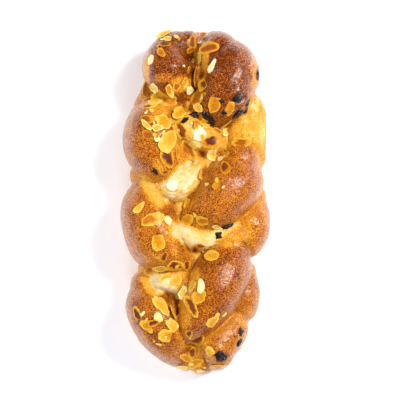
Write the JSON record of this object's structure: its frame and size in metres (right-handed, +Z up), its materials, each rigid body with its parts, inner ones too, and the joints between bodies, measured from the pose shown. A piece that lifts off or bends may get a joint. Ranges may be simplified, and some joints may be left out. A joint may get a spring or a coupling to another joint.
{
  "type": "braided christmas bread",
  "caption": "Braided sweet Christmas loaf of rich yeast dough, baked golden brown, with toasted almond flakes and raisins on its crust, flat underneath.",
  "frame": {"origin": "middle of the flat baked base, below the middle of the loaf's bounding box", "axes": "+Y along the loaf towards its broad end, +Z up out of the baked base, +X to the right seen from above"},
  "size_m": [0.1206, 0.2782, 0.0709],
  "materials": {
    "baked_crust": "egg-washed golden brown bread crust, softly glossy, with pale stretched dough in the folds and toasted almond flakes",
    "raisin_skin": "dark shrivelled raisin skin, slightly shiny"
  },
  "bodies": {
    "root": {"loaf": "baked_crust", "raisin_01": "raisin_skin", "raisin_02": "raisin_skin", "raisin_03": "raisin_skin", "raisin_04": "raisin_skin", "raisin_05": "raisin_skin", "raisin_06": "raisin_skin", "raisin_07": "raisin_skin", "raisin_08": "raisin_skin", "raisin_09": "raisin_skin", "raisin_10": "raisin_skin", "raisin_11": "raisin_skin", "raisin_12": "raisin_skin"}
  },
  "joints": []
}
